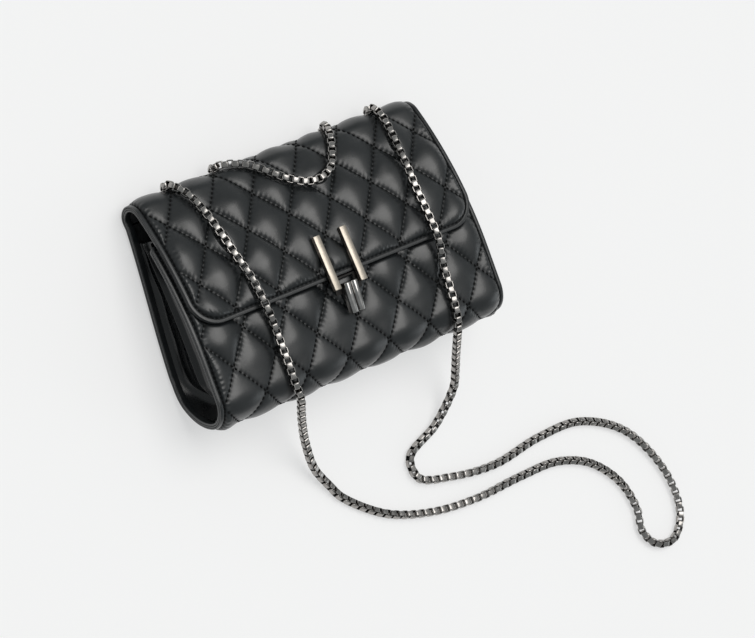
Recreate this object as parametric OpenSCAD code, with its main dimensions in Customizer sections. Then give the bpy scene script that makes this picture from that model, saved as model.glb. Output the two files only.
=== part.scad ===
// A small quilted crossbody purse with a turn lock and a chain strap, lying on its back.
// +X is to the right as one looks at its front, +Y runs from its base to its ridge, and
// +Z is the way its front faces. Z = 0 is the surface that it lies on. Millimetres.

/* [Body] */
// Width over the side rims
body_w = 200; // [190:1:220]
// Thickness of the leather skin
skin_t = 1.2; // [1:0.1:1.2]
// Depth of the inner face of the foam padding
padding_d = 3; // [2.4:0.1:3]
// How far the gusset's fold reaches in
gusset_fold = 9; // [4:0.5:10]

/* [Flap] */
// Width of the flap
flap_w = 195; // [185:1:196]
// Radius of the flap's two free corners
flap_corner_r = 17; // [8:1:24]
// Radius of the flap's slight arch
flap_r = 190; // [185:1:200]

/* [Lock] */
// Length of the two trim bars
bar_len = 32.4; // [26:0.2:32.4]
// Width of a trim bar
bar_w = 4.5; // [3:0.1:4.6]
// Thickness of a trim bar
bar_t = 3; // [2:0.1:3]
// Distance between the bars' centre lines
bar_pitch = 18.2; // [18.2:0.1:20]
// Length of the turn knob
knob_len = 17.6; // [12:0.2:17.6]

/* [Chain] */
// Width of the box chain
chain_d = 6; // [5:0.1:6]
// Distance between the outer pair of eyelets
eyelet_outer_pitch = 142; // [142:1:142]
// Distance between the inner pair of eyelets
eyelet_inner_pitch = 77; // [77:1:77]

/* [Hidden] */
$fn = 48;

leather = [0.07, 0.07, 0.08];
foam = [0.55, 0.55, 0.52];
board = [0.62, 0.52, 0.4];
lining = [0.16, 0.15, 0.16];
champagne = [0.82, 0.78, 0.72];
gunmetal = [0.36, 0.35, 0.35];
dark_metal = [0.2, 0.19, 0.19];
e = 0.01;

// The section of the bag, in Y and Z, is made of arcs that run into each other.
ridge_r = 12.4;
ridge_c = [52.9, ridge_r];
base_y = -66;
base_z = 33;
base_front_r = 16;
base_front_c = [base_y + base_front_r, base_z];
base_back_c = [base_y + base_z, base_z];
// Angle of the surface's normal where the ridge runs into the flap, at the hinge line
hinge_a = 57.5;
// Angle of the normal at the flap's lip, and on the flat of the front panel
lip_a = 79.85;
front_a = 85.15;
// Angle of the normal at the front panel's top edge, the bag's mouth
mouth_a = 64.6;
flap_c = ridge_c + (ridge_r - flap_r) * [cos(hinge_a), sin(hinge_a)];

// Depths of the layers under the outer surface
layer_gap = 0.1;
body_board_t = 0.75;
body_board_d = padding_d + 0.15;
body_lining_d = body_board_d + body_board_t + layer_gap;
body_lining_t = 0.5;
flap_padding_d = 3.1;
flap_board_d = flap_padding_d + layer_gap;
flap_board_t = 0.6;
flap_lining_d = flap_board_d + flap_board_t + layer_gap;
flap_lining_t = 0.5;
flap_t = flap_lining_d + flap_lining_t;
flap_clearance = 0.4;
front_r = flap_r - flap_t - flap_clearance;

// How far each layer stays inside the rims
rim_w = 4;
stiffener_w = body_w - 32;

// Turn lock, along its axis
lock_y = -22.6;
lock_base_z = 47.4;
lock_base_t = 1.1;
knob_z = 50.2;
knob_bar_r = 2.35;
knob_bar_pitch = 4.8;
knob_core_h = 2.4;
knob_core_w = 7;
knob_core_set_back = 1.5;
spindle_r = 2;
spindle_hole_r = 2.3;
spindle_bottom_z = 39.2;
washer_z = 40.7;
washer_t = 0.7;

// Trim bars and the plate that they are riveted to
bar_slope = 10.97;
bar_mid_z = 51.4;
stud_r = 1.2;
stud_ys = [11, -5];
plate_w = 25;
plate_top_y = 13;
clip_w = 18;
clip_y = -10;
clip_t = 1;
prong_z = 48.8;
prong_end_y = -19.5;
notch_w = 9.8;

// Eyelets behind the ridge
eyelet_a = -12;
eyelet_bore_r = 3.9;
eyelet_barrel_r = 4.5;
eyelet_flange_r = 5.4;
eyelet_flange_t = 0.6;
eyelet_seat_r = 11.7;
eyelet_inner_r = 7.5;
eyelet_xs = [-eyelet_outer_pitch / 2, -eyelet_inner_pitch / 2,
    eyelet_inner_pitch / 2, eyelet_outer_pitch / 2];

// Where the chain lies
outer_x = eyelet_outer_pitch / 2;
inner_x = eyelet_inner_pitch / 2;
chain_left_upper_route = [
    [-outer_x, 59, 11.6], [-outer_x, 64, 10.3], [-71.2, 67.2, 12], [-71.2, 68.1, 16],
    [-70.2, 66.4, 20.6], [-67.8, 62.6, 25.2], [-65.2, 55, 30.2], [-63.2, 44, 35.9],
    [-61.8, 32, 41.5], [-60, 20, 46], [-57.6, 8, 49.6]];
chain_right_upper_route = [
    [64.4, 6, 50.2], [64.8, 20, 46], [66.4, 32, 41.5], [68.2, 44, 35.9], [69.8, 55, 30.2],
    [70.8, 62.6, 25.2], [71.2, 66.4, 20.6], [71.2, 68.1, 16], [71.1, 67.2, 12],
    [outer_x, 64, 10.3], [outer_x, 59, 11.6]];
chain_left_fall_route = [
    [-57.6, 8, 49.6], [-55.8, -11, 52.9], [-53.8, -23, 51.1], [-52.8, -56, 52.4], [-49.4, -65.8, 47],
    [-47, -72.5, 40], [-43.6, -80.7, 31], [-38, -95, 18], [-31.6, -113.1, 8], [-23.2, -126.8, 4.2],
    [-17, -136, 3.1]];
chain_table_run_route = [
    [-17, -136, 3.1], [8, -155.5, 3.1], [38, -165.8, 3.1], [70, -169.4, 3.1], [104, -168.5, 3.1],
    [132, -169.6, 3.1], [154, -178.5, 3.1], [171, -196.5, 3.1], [177.6, -216, 3.1], [176.8, -231, 3.1],
    [184, -241.5, 3.1], [197, -243.6, 3.1], [207, -232, 3.1], [206.5, -206, 3.1], [187, -171, 3.1],
    [156, -153, 3.1], [124, -151.5, 3.1], [90, -155.4, 3.1], [58, -151.5, 3.1], [36, -144, 3.1],
    [34.5, -131, 3.1]];
chain_right_fall_route = [
    [34.5, -131, 3.1], [57.1, -118.7, 4.6], [70.8, -101.2, 13], [70.3, -90.8, 21], [67.4, -80.4, 31],
    [64.1, -71.6, 41], [62.4, -63.9, 48], [61.8, -54, 52.7], [64.2, -23, 51.1], [64.8, -11, 52.9],
    [64.4, 6, 50.2]];
chain_short_loop_route = [
    [-inner_x, 59, 11.6], [-inner_x, 64, 10.3], [-38.6, 67.3, 12.2], [-37, 68.1, 16.2],
    [-30, 66.8, 20.4], [-22, 63, 24.8], [-14, 56.4, 29.2], [-6, 49.6, 33], [3, 44.8, 35.4],
    [13, 43.8, 35.9], [22, 47.2, 34.3], [28, 54, 30.6], [32.6, 61.2, 26.2], [36.2, 66.4, 20.4],
    [38, 68.2, 15.6], [38.6, 67, 12], [inner_x, 64, 10.3], [inner_x, 59, 11.6]];
chain_inside_right_route = [
    [inner_x, 59, 11.6], [47, 53, 12.6], [62.5, 53, 12.6], [outer_x, 59, 11.6]];

// Points on an arc in the section, from angle a0 to a1
function arc(c, r, a0, a1, n = 10) =
    [for (i = [0:n]) let (a = a0 + (a1 - a0) * i / n) c + r * [cos(a), sin(a)]];

function reverse(list) = [for (i = [len(list) - 1:-1:0]) list[i]];

// The front panel's outline at depth d, from angle a0 at its top down to the base
function front_path(d, a0) =
    concat(arc(flap_c, front_r - d, a0, front_a), arc(base_front_c, base_front_r - d, front_a, 90, 2));

// The base's outline at depth d
function base_path(d) =
    concat(arc(base_front_c, base_front_r - d, 90, 180), arc(base_back_c, base_z - d, 180, 270, 12));

// The whole body's outline at depth d, from angle a0 at the mouth to a1 on the ridge
function body_path(d, a0, a1) =
    concat(front_path(d, a0), base_path(d), arc(ridge_c, ridge_r - d, 270, a1, 14));

// The flap's outline at depth d
function flap_path(d, a0 = hinge_a + 0.1, a1 = lip_a) = arc(flap_c, flap_r - d, a0, a1, 16);

// Height of the flap's surface at y, at depth d
function flap_z(y, d = 0) = flap_c[1] + sqrt(pow(flap_r - d, 2) - pow(y - flap_c[0], 2));

// Lowest and highest point inside the body at y, at depth d
function low_z(y, d) = y > base_back_c[0] ? d
    : base_z - sqrt(pow(base_z - d, 2) - pow(y - base_back_c[0], 2));
function high_z(y, d) = y > base_front_c[0]
    ? flap_c[1] + sqrt(pow(front_r - d, 2) - pow(y - flap_c[0], 2))
    : base_z + sqrt(pow(base_front_r - d, 2) - pow(y - base_front_c[0], 2));

// A wall between two outlines, w wide
module wall(outer, inner, w)
    rotate([90, 0, 90]) linear_extrude(w, center = true) polygon(concat(outer, reverse(inner)));

// A shape set on the ridge at angle a, with its own +Z pointing away from the ridge's axis
module on_ridge(x, a)
    translate([x, ridge_c[0], ridge_c[1]]) rotate([a - 90, 0, 0]) children();

module ring(r, bore_r, h)
    difference() {
        cylinder(h, r = r);
        translate([0, 0, -1]) cylinder(h + 2, r = bore_r);
    }

// Holes for the lock's spindle and the eyelets, through the body's layers
module body_holes() {
    translate([0, lock_y, base_z]) cylinder(base_z, r = spindle_hole_r);
    for (x = eyelet_xs)
        on_ridge(x, eyelet_a) {
            cylinder(ridge_r * 2, r = eyelet_barrel_r + layer_gap);
            translate([0, 0, eyelet_seat_r - layer_gap]) cylinder(ridge_r, r = eyelet_flange_r + layer_gap);
        }
}

module body_wrap()
    color(leather) difference() {
        wall(body_path(0, mouth_a, 359 + hinge_a), body_path(skin_t, mouth_a, 359 + hinge_a), body_w);
        body_holes();
    }

module body_padding() {
    d = skin_t + layer_gap;
    color(foam) difference() {
        wall(body_path(d, mouth_a + 1, 357 + hinge_a), body_path(padding_d, mouth_a + 1, 357 + hinge_a),
            body_w - 2 * rim_w);
        body_holes();
    }
}

module front_board() {
    d = body_board_d;
    color(board) difference() {
        wall(front_path(d, mouth_a + 1), front_path(d + body_board_t, mouth_a + 1), stiffener_w);
        body_holes();
    }
}

module back_board()
    color(board)
        translate([-stiffener_w / 2, base_back_c[0], body_board_d])
            cube([stiffener_w, ridge_c[0] - base_back_c[0] - 4, body_board_t]);

module body_lining() {
    d = body_lining_d;
    back_end = [[ridge_c[0] - 4, d]];
    inner_end = [[ridge_c[0] - 4, d + body_lining_t]];
    color(lining) difference() {
        wall(concat(front_path(d, mouth_a), base_path(d), back_end),
            concat(front_path(d + body_lining_t, mouth_a), base_path(d + body_lining_t), inner_end),
            stiffener_w);
        body_holes();
    }
}

// A side panel that folds in between the front and the back. side is -1 or 1.
gusset_edge_x = body_w / 2 - 3.5;
gusset_t = 1.2;
gusset_d = padding_d + 0.3;
gusset_ys = [-61.5, -60, -57, -52, -46, -38, -26, -10, 8, 24, 36];
gusset_cols = 8;

function gusset_depth(y) = gusset_fold * min(1, (y + 62) / 24);
function gusset_row(y, side, inset) =
    [for (k = [0:gusset_cols])
        let (t = k / gusset_cols, fold = 1 - abs(2 * t - 1), z0 = low_z(y, gusset_d), z1 = high_z(y, gusset_d))
        [side * (gusset_edge_x - inset - gusset_depth(y) * fold), y, z0 + (z1 - z0) * t]];

// A closed sheet between two grids of points that have the same rows and columns
module sheet(face, back) {
    rows = len(face);
    cols = len(face[0]);
    n = rows * cols;
    points = concat([for (row = face) each row], [for (row = back) each row]);
    rim = concat([for (c = [0:cols - 1]) c], [for (r = [1:rows - 1]) r * cols + cols - 1],
        [for (c = [cols - 2:-1:0]) (rows - 1) * cols + c], [for (r = [rows - 2:-1:1]) r * cols]);
    quads = [for (r = [0:rows - 2], c = [0:cols - 2]) [r * cols + c, r * cols + c + 1,
        (r + 1) * cols + c + 1, (r + 1) * cols + c]];
    polyhedron(points, concat(
        [for (q = quads) [q[0], q[1], q[2]]], [for (q = quads) [q[0], q[2], q[3]]],
        [for (q = quads) [n + q[2], n + q[1], n + q[0]]], [for (q = quads) [n + q[3], n + q[2], n + q[0]]],
        [for (i = [0:len(rim) - 1]) let (a = rim[i], b = rim[(i + 1) % len(rim)]) [b, a, n + a]],
        [for (i = [0:len(rim) - 1]) let (a = rim[i], b = rim[(i + 1) % len(rim)]) [b, n + a, n + b]]));
}

module right_gusset()
    color(leather)
        sheet([for (y = gusset_ys) gusset_row(y, 1, 0)], [for (y = gusset_ys) gusset_row(y, 1, gusset_t)]);

module left_gusset()
    mirror([1, 0, 0]) right_gusset();

module eyelets()
    color(gunmetal)
        for (x = eyelet_xs)
            on_ridge(x, eyelet_a) {
                translate([0, 0, eyelet_inner_r])
                    ring(eyelet_barrel_r, eyelet_bore_r, eyelet_seat_r - eyelet_inner_r + e);
                translate([0, 0, eyelet_seat_r])
                    ring(eyelet_flange_r, eyelet_bore_r, eyelet_flange_t);
            }

module eyelet_washers()
    color(dark_metal)
        for (x = eyelet_xs)
            on_ridge(x, eyelet_a) translate([0, 0, eyelet_inner_r - eyelet_flange_t])
                ring(eyelet_flange_r, eyelet_bore_r, eyelet_flange_t - e);

module turn_lock_base()
    color(dark_metal)
        translate([0, lock_y, lock_base_z]) difference() {
            union() {
                for (side = [-1, 1])
                    translate([0, side * 3, 0]) cylinder(lock_base_t, r = 3.5);
                translate([-3.5, -3, 0]) cube([7, 6, lock_base_t]);
            }
            translate([0, 0, -1]) cylinder(lock_base_t + 2, r = spindle_r + 0.05);
        }

module turn_lock_washer()
    color(dark_metal)
        translate([0, lock_y, washer_z]) ring(5, spindle_r + 0.05, washer_t);

module turn_lock_spring()
    color(gunmetal)
        translate([0, lock_y, washer_z - 0.5]) ring(4.4, spindle_r + 0.2, 0.4);

// One half-round bar of the knob, along Y, with bevelled ends
module knob_bar() {
    bevel = 1;
    rotate([90, 0, 0]) rotate_extrude()
        polygon([[0, -knob_len / 2], [knob_bar_r - bevel, -knob_len / 2], [knob_bar_r, bevel - knob_len / 2],
            [knob_bar_r, knob_len / 2 - bevel], [knob_bar_r - bevel, knob_len / 2], [0, knob_len / 2]]);
}

module turn_knob()
    color(gunmetal)
        translate([0, lock_y, knob_z]) {
            for (side = [-1, 1])
                translate([side * knob_bar_pitch / 2, 0, knob_core_h]) knob_bar();
            translate([-knob_core_w / 2, -knob_len / 2 + knob_core_set_back, 0])
                cube([knob_core_w, knob_len - 2 * knob_core_set_back, knob_core_h]);
        }

module knob_spindle()
    color(gunmetal)
        translate([0, lock_y, spindle_bottom_z]) cylinder(knob_z - spindle_bottom_z, r = spindle_r);

module spindle_clip()
    color(dark_metal)
        translate([0, lock_y, spindle_bottom_z + 0.3]) ring(3.4, spindle_r + 0.02, 0.6);

// Keeps a flap layer inside the flap's outline, inset by d on its three free sides
module in_flap_outline(d) {
    half = flap_w / 2 - d;
    r = flap_corner_r - d;
    low = base_y / 2;
    lip_y = flap_c[0] + flap_r * cos(lip_a) + d;
    intersection() {
        children();
        translate([0, 0, -e]) union() {
            for (side = [-1, 1])
                translate([side * (half - r), lip_y + r, 0]) cylinder(80, r = r);
            translate([-half, lip_y + r, 0]) cube([2 * half, 100, 80]);
            translate([r - half, low, 0]) cube([2 * (half - r), lip_y - low + r + e, 80]);
        }
    }
}

module stud_holes()
    for (side = [-1, 1], y = stud_ys)
        translate([side * bar_pitch / 2, y, 30]) cylinder(30, r = stud_r + layer_gap);

module flap_leather()
    color(leather) difference() {
        in_flap_outline(0) wall(flap_path(0), flap_path(skin_t), flap_w);
        stud_holes();
    }

module flap_padding()
    color(foam) difference() {
        in_flap_outline(rim_w)
            wall(flap_path(skin_t + layer_gap, hinge_a + 1, lip_a - 1), flap_path(flap_padding_d, hinge_a + 1, lip_a - 1),
                flap_w);
        stud_holes();
    }

module flap_board()
    color(board) difference() {
        in_flap_outline(6)
            wall(flap_path(flap_board_d, hinge_a + 4, lip_a - 1.5),
                flap_path(flap_board_d + flap_board_t, hinge_a + 4, lip_a - 1.5), flap_w);
        translate([-plate_w / 2 - 0.5, base_y, 0]) cube([plate_w + 1, plate_top_y + 0.5 - base_y, 80]);
    }

module flap_lining()
    color(lining)
        in_flap_outline(0.5) wall(flap_path(flap_lining_d), flap_path(flap_lining_d + flap_lining_t), flap_w);

module lock_bar(side)
    color(champagne)
        translate([side * bar_pitch / 2, 0, bar_mid_z]) rotate([-bar_slope, 0, 0])
            translate([-bar_w / 2, -bar_len / 2, -bar_t]) cube([bar_w, bar_len, bar_t]);

module left_lock_bar() lock_bar(-1);

module right_lock_bar() lock_bar(1);

module lock_bar_studs()
    color(dark_metal)
        for (side = [-1, 1], y = stud_ys) {
            low = flap_z(y, flap_board_d) - 0.2;
            high = bar_mid_z - y * tan(bar_slope) - bar_t;
            translate([side * bar_pitch / 2, y, low]) cylinder(high - low, r = stud_r);
        }

// The plate lies between the flap's padding and lining, and bends up round the lip into two prongs
module lock_plate() {
    top_a = acos((plate_top_y - flap_c[0]) / flap_r);
    tongue = flap_path(flap_board_d, top_a, lip_a + 0.3);
    under = flap_path(flap_board_d + flap_board_t, top_a, lip_a + 0.3);
    foot_z = flap_z(clip_y, flap_board_d + flap_board_t);
    color(dark_metal) {
        wall(tongue, under, plate_w);
        difference() {
            translate([-clip_w / 2, prong_end_y, foot_z])
                cube([clip_w, clip_y - prong_end_y, prong_z + clip_t - foot_z]);
            translate([-clip_w, prong_end_y - 1, foot_z - 1])
                cube([2 * clip_w, clip_y - clip_t - prong_end_y + 1, prong_z - foot_z + 1]);
            translate([-notch_w / 2, prong_end_y - 1, foot_z - 1])
                cube([notch_w, clip_y - clip_t - prong_end_y + 1, 20]);
        }
    }
}

// A tube of the chain's width along a route, its ring turned on from each point to the next
function unit(v) = v / norm(v);
function tangent(p, i) = unit(p[min(i + 1, len(p) - 1)] - p[max(i - 1, 0)]);
function carried(p, i, normal) = i == len(p) ? []
    : let (t = tangent(p, i), m = unit(normal - (normal * t) * t)) concat([m], carried(p, i + 1, m));

module chain_tube(route) {
    sides = 8;
    rings = len(route);
    normals = carried(route, 0, [0.3, 0.1, 1]);
    points = [for (i = [0:rings - 1], k = [0:sides - 1])
        let (t = tangent(route, i), u = normals[i], v = cross(t, u), a = 360 * k / sides)
        route[i] + chain_d / 2 * (cos(a) * u + sin(a) * v)];
    skin = [for (i = [0:rings - 2], k = [0:sides - 1])
        let (a = i * sides + k, b = i * sides + (k + 1) % sides) [a, a + sides, b + sides, b]];
    color(gunmetal)
        polyhedron(points, concat(
            [for (q = skin) [q[0], q[1], q[2]]], [for (q = skin) [q[0], q[2], q[3]]],
            [[for (k = [0:sides - 1]) k]], [[for (k = [sides - 1:-1:0]) (rings - 1) * sides + k]]));
}

module chain_left_upper() chain_tube(chain_left_upper_route);

module chain_right_upper() chain_tube(chain_right_upper_route);

module chain_left_fall() chain_tube(chain_left_fall_route);

module chain_table_run() chain_tube(chain_table_run_route);

module chain_right_fall() chain_tube(chain_right_fall_route);

module chain_short_loop() chain_tube(chain_short_loop_route);

module chain_inside_right() chain_tube(chain_inside_right_route);

module chain_inside_left() mirror([1, 0, 0]) chain_inside_right();

body_wrap();
body_padding();
front_board();
back_board();
body_lining();
left_gusset();
right_gusset();
eyelets();
eyelet_washers();
turn_lock_base();
turn_lock_washer();
turn_lock_spring();
turn_knob();
knob_spindle();
spindle_clip();
flap_leather();
flap_padding();
flap_board();
flap_lining();
left_lock_bar();
right_lock_bar();
lock_bar_studs();
lock_plate();
chain_left_upper();
chain_right_upper();
chain_left_fall();
chain_table_run();
chain_right_fall();
chain_short_loop();
chain_inside_left();
chain_inside_right();
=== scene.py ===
"""A quilted crossbody purse that lies on its back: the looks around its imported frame.

Lengths in the tables below are millimetres, as in the frame's own design, and become metres where a mesh
is made. +X is to the right as one looks at the purse's front, +Y runs from its base to its ridge, and +Z is
where it faces.
"""
import math

import bpy
import numpy as np
from mathutils import Matrix, Vector


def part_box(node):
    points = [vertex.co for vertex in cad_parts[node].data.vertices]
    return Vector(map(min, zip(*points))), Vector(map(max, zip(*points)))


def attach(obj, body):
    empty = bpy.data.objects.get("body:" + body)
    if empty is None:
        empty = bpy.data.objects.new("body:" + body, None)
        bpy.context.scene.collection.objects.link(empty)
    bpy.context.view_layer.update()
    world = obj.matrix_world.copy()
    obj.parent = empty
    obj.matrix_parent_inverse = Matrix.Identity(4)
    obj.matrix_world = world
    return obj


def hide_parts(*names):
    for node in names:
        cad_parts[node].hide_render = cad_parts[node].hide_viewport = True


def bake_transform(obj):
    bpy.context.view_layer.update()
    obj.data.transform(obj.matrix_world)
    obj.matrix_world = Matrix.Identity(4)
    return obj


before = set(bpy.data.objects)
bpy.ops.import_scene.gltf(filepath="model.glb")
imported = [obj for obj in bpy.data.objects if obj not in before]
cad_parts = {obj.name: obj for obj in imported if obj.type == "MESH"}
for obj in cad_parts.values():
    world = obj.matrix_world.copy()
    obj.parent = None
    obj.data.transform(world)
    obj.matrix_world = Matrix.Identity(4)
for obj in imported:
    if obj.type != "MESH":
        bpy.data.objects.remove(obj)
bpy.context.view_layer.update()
random = np.random.default_rng(11)
MM = 0.001

# The camera: where it stands as angles round the purse, its distance, and its aim
CAMERA_YAW = 0.561
CAMERA_PITCH = 0.150
CAMERA_ROLL = 0.301
CAMERA_DISTANCE = 2.0035
CAMERA_ASIDE = 0.048226
CAMERA_DOWN = -0.034433
CAMERA_AIM = Vector((0, 0.00225, 0.0015))
CAMERA_LENS = 168.48
SENSOR = 36

# Sizes taken from the frame
BODY_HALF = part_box("body_wrap")[1].x / MM
FLAP_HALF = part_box("flap_leather")[1].x / MM
LOCK = (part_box("knob_spindle")[0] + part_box("knob_spindle")[1]) / 2 / MM

# The section of the leather: radius and turn in degrees of each arc, from the flap's lip over the ridge,
# down the back, round the base and up the front to the mouth. A straight stretch has no turn, but a length.
LIP_ANGLE = 79.85
HINGE_ANGLE = 57.5
FRONT_ANGLE = 85.15
MOUTH_ANGLE = 63.3
FLAP_R = 190
RIDGE_R = 12.4
FLAP_THICK = 4.4
FLAP_GAP = 0.4
BACK_TOP_Y = 52.9
BACK_LOW_Y = -33
BASE_BACK_R = 33
BASE_FRONT_R = 16
FRONT_R = FLAP_R - FLAP_THICK - FLAP_GAP
FLAP_CORNER = 17
MOUTH_CORNER = 3
DEEPEST = -2.9

# Quilting: the lattice's width and height, its phase on the flap, and its drift round to the front
LATTICE_W = 28.7
LATTICE_H = 37.8
LATTICE_FIRST = 5
FRONT_DRIFT_S = 4.5
FRONT_DRIFT_X = 2.2
PAD_PEAK = 2.5
PAD_GROOVE = -1.3
PAD_POWER = 0.56
STITCHES_A_SIDE = 8
PAD_SIDE = math.hypot(LATTICE_W, LATTICE_H) / 2
PUCKER = 0.10
BRIDGE = 0.11
EDGE_GATHER = 0.24
RIDGE_TAUT = 0.5
BASE_TAUT = 0.45
TAUT_LEVEL = 1.1
EDGE_STITCH = 2.9
SEAM_SHADE_AND_DULL = 1.05
PUCKER_FROM_SEAM = 1.2
PUCKER_W = 1.3
BRIDGE_W = 0.9
WRINKLE_DEPTH = 0.22

# Rims along the free edges of the leather
RIM_W = 2.6
RIM_DEPTH = 0.9
EDGE_SEAM = 1.75
RIM_RISE = 6.5


def smoothstep(t):
    t = np.clip(t, 0, 1)
    return t * t * (3 - 2 * t)


def unit(v):
    return v / np.maximum(np.linalg.norm(v, axis=-1, keepdims=True), 1e-12)


# ---- camera ----
def camera():
    yaw, pitch = CAMERA_YAW, CAMERA_PITCH
    back = Vector((-math.sin(yaw) * math.cos(pitch), math.sin(pitch), math.cos(yaw) * math.cos(pitch)))
    level = Vector((0, 1, 0)).cross(back).normalized()
    above = back.cross(level)
    right = math.cos(CAMERA_ROLL) * level - math.sin(CAMERA_ROLL) * above
    up = math.sin(CAMERA_ROLL) * level + math.cos(CAMERA_ROLL) * above
    data = bpy.data.cameras.new("camera")
    data.sensor_width = SENSOR
    data.lens = CAMERA_LENS
    data.clip_end = 20
    cam = bpy.data.objects.new("camera", data)
    bpy.context.scene.collection.objects.link(cam)
    place = back * CAMERA_DISTANCE + right * CAMERA_ASIDE + up * CAMERA_DOWN + CAMERA_AIM
    turn = Matrix((right, up, back)).transposed().to_4x4()
    cam.matrix_world = Matrix.Translation(place) @ turn
    bpy.context.scene.camera = cam


# ---- materials ----
class Nodes:
    """A material's node tree, with short calls for what the materials below share."""

    def __init__(self, name):
        self.material = bpy.data.materials.new(name)
        self.material.use_nodes = True
        self.tree = self.material.node_tree
        self.shader = self.tree.nodes["Principled BSDF"]
        self.place = self.tree.nodes.new("ShaderNodeTexCoord").outputs["Object"]

    def set(self, **values):
        for key, value in values.items():
            name = key.replace("_", " ").title().replace("Ior", "IOR")
            self.shader.inputs[name].default_value = value

    def link(self, a, b):
        self.tree.links.new(a, b)

    def stretched(self, scale):
        node = self.tree.nodes.new("ShaderNodeMapping")
        node.inputs["Scale"].default_value = scale
        self.link(self.place, node.inputs["Vector"])
        return node.outputs["Vector"]

    def attribute(self, name):
        node = self.tree.nodes.new("ShaderNodeAttribute")
        node.attribute_name = name
        return node.outputs["Fac"]

    def feed(self, name, value):
        self.link(value, self.shader.inputs[name])

    def noise(self, scale, detail=3, where=None, roughness=0.55):
        node = self.tree.nodes.new("ShaderNodeTexNoise")
        node.inputs["Scale"].default_value = scale
        node.inputs["Detail"].default_value = detail
        node.inputs["Roughness"].default_value = roughness
        self.link(where or self.place, node.inputs["Vector"])
        return node.outputs["Fac"]

    def cells(self, scale):
        node = self.tree.nodes.new("ShaderNodeTexVoronoi")
        node.feature = "DISTANCE_TO_EDGE"
        node.inputs["Scale"].default_value = scale
        self.link(self.place, node.inputs["Vector"])
        return node.outputs["Distance"]

    def waves(self, scale, direction):
        node = self.tree.nodes.new("ShaderNodeTexWave")
        node.bands_direction = direction
        node.inputs["Scale"].default_value = scale
        node.inputs["Distortion"].default_value = 0.6
        self.link(self.place, node.inputs["Vector"])
        return node.outputs["Fac"]

    def range(self, value, low, high, from_low=0.3, from_high=0.7):
        node = self.tree.nodes.new("ShaderNodeMapRange")
        node.inputs["From Min"].default_value = from_low
        node.inputs["From Max"].default_value = from_high
        node.inputs["To Min"].default_value = low
        node.inputs["To Max"].default_value = high
        self.link(value, node.inputs["Value"])
        return node.outputs["Result"]

    def math(self, operation, a, b):
        node = self.tree.nodes.new("ShaderNodeMath")
        node.operation = operation
        for socket, value in zip(node.inputs, (a, b)):
            if isinstance(value, (int, float)):
                socket.default_value = value
            else:
                self.link(value, socket)
        return node.outputs["Value"]

    def colour(self, factor, low, high):
        node = self.tree.nodes.new("ShaderNodeMix")
        node.data_type = "RGBA"
        node.inputs["A"].default_value = (*low, 1)
        node.inputs["B"].default_value = (*high, 1)
        self.link(factor, node.inputs["Factor"])
        self.link(node.outputs["Result"], self.shader.inputs["Base Color"])

    def bump(self, height, depth):
        node = self.tree.nodes.new("ShaderNodeBump")
        node.inputs["Distance"].default_value = depth
        node.inputs["Strength"].default_value = 1
        self.link(height, node.inputs["Height"])
        self.link(node.outputs["Normal"], self.shader.inputs["Normal"])


def leather(name, dark, light, rough_low, rough_high, grain_depth, coat):
    """Grained leather, darker by painted shade, duller and without its coat where a mesh's seam attribute
    rises to 1.
    """
    n = Nodes(name)
    blotch = n.noise(45, 4)
    grain = n.cells(1700)
    pores = n.noise(3600, 2)
    creases = n.noise(260, 5, roughness=0.7)
    seam = n.attribute("seam")
    # painted shade: the colour falls to its darkest along the seams, where the seam attribute rises to 1
    n.colour(n.math("MULTIPLY", n.range(blotch, 0, 1), n.range(seam, 1, 0, 0, 1)), dark, light)
    wear = n.range(n.noise(110, 4), rough_low, rough_high)
    n.feed("Roughness", n.math("ADD", wear, n.math("MULTIPLY", seam, 0.3)))
    n.feed("Specular IOR Level", n.range(seam, 0.5, 0.03, 0, 1))
    n.feed("Coat Weight", n.range(seam, coat, 0, 0, 1))
    fine = n.math("MULTIPLY", grain, 0.55)
    height = n.math("ADD", fine, n.math("MULTIPLY", pores, 0.3))
    n.bump(n.math("ADD", height, n.math("MULTIPLY", creases, 1.4)), grain_depth)
    n.set(coat_roughness=0.28)
    return n.material


def metal(name, dark, light, rough_low, rough_high, brushed=None, bump=0.00001):
    n = Nodes(name)
    where = n.stretched(brushed) if brushed else None
    streaks = n.noise(900, 3, where)
    n.colour(n.range(n.noise(240, 3), 0, 1), dark, light)
    n.feed("Roughness", n.range(streaks, rough_low, rough_high))
    n.bump(streaks, bump)
    n.set(metallic=1)
    return n.material


def cloth(name, dark, light):
    n = Nodes(name)
    weave = n.math("MULTIPLY", n.waves(900, "X"), n.waves(900, "Y"))
    n.colour(weave, dark, light)
    n.feed("Roughness", n.range(n.noise(300), 0.75, 0.92))
    n.bump(weave, 0.00012)
    n.set(sheen_weight=0.25, sheen_roughness=0.4)
    return n.material


def matt(name, dark, light, scale, depth):
    n = Nodes(name)
    blotch = n.noise(scale, 4)
    n.colour(n.range(blotch, 0, 1), dark, light)
    n.feed("Roughness", n.range(n.noise(scale * 2), 0.7, 0.95))
    n.bump(blotch, depth)
    n.set(specular_ior_level=0.12)
    return n.material


FLOOR_GLOW = 0.50


def floor_material():
    n = Nodes("pale_floor")
    n.colour(n.range(n.noise(3), 0, 1), (0.47, 0.47, 0.47), (0.472, 0.472, 0.472))
    n.set(emission_color=(1, 1, 1, 1), emission_strength=FLOOR_GLOW, roughness=0.9, specular_ior_level=0.1)
    return n.material


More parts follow.
